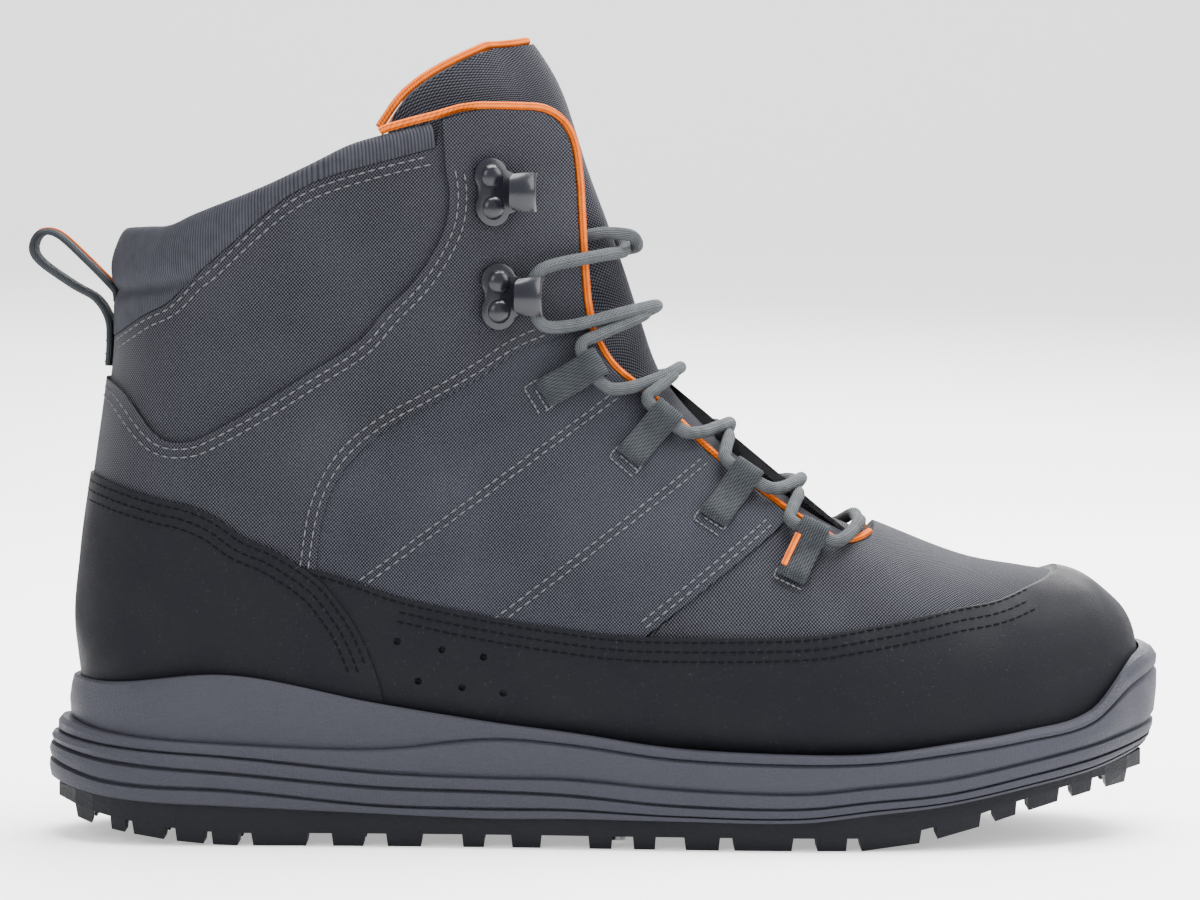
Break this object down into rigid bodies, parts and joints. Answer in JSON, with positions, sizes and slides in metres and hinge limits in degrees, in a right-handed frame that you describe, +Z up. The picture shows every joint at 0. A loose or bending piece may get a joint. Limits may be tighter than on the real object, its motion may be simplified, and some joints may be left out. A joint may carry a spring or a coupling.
{
  "type": "wading boot",
  "caption": "Ankle-high laced wading boot with a woven upper, leather rand and heel counter, padded collar, lace hooks, heel pull loop and lugged rubber sole.",
  "frame": {"origin": "middle of the foot of the boot's box, on the ground plane that the sole stands on", "axes": "+X from heel to toe, +Z up, +Y to the inner (medial) side of this right boot"},
  "size_m": [0.3232, 0.1116, 0.2275],
  "materials": {
    "outsole_rubber": "moulded rubber, dull",
    "midsole_foam": "moulded foam rubber with a fine leather-like grain",
    "footbed_felt": "felted fabric over foam",
    "woven_fabric": "coarse woven nylon, dull",
    "black_leather": "coated leather, satin, fine pale specks",
    "collar_knit": "fine ribbed knit over foam",
    "grey_webbing": "woven webbing",
    "grey_lace": "round braided cord",
    "orange_cord": "woven piping cord",
    "black_metal": "gloss black enamel"
  },
  "bodies": {
    "root": {"outsole": "outsole_rubber", "midsole": "midsole_foam", "insole": "footbed_felt", "upper": "woven_fabric", "rand": "black_leather", "heel_counter": "black_leather", "ankle_panel": "woven_fabric", "collar": "collar_knit", "tongue": "woven_fabric", "pull_loop": "grey_webbing", "flap_piping_inner": "orange_cord", "flap_piping_outer": "orange_cord", "hook_inner_lower": "black_metal", "hook_inner_upper": "black_metal", "hook_outer_lower": "black_metal", "hook_outer_upper": "black_metal", "lace": "grey_lace", "lace_loop_inner_1": "grey_webbing", "lace_loop_inner_2": "grey_webbing", "lace_loop_inner_3": "grey_webbing", "lace_loop_inner_4": "grey_webbing", "lace_loop_outer_1": "grey_webbing", "lace_loop_outer_2": "grey_webbing", "lace_loop_outer_3": "grey_webbing", "lace_loop_outer_4": "grey_webbing", "rivet_inner_lower_1": "black_metal", "rivet_inner_lower_2": "black_metal", "rivet_inner_upper_1": "black_metal", "rivet_inner_upper_2": "black_metal", "rivet_outer_lower_1": "black_metal", "rivet_outer_lower_2": "black_metal", "rivet_outer_upper_1": "black_metal", "rivet_outer_upper_2": "black_metal", "tongue_piping": "orange_cord"}
  },
  "joints": []
}
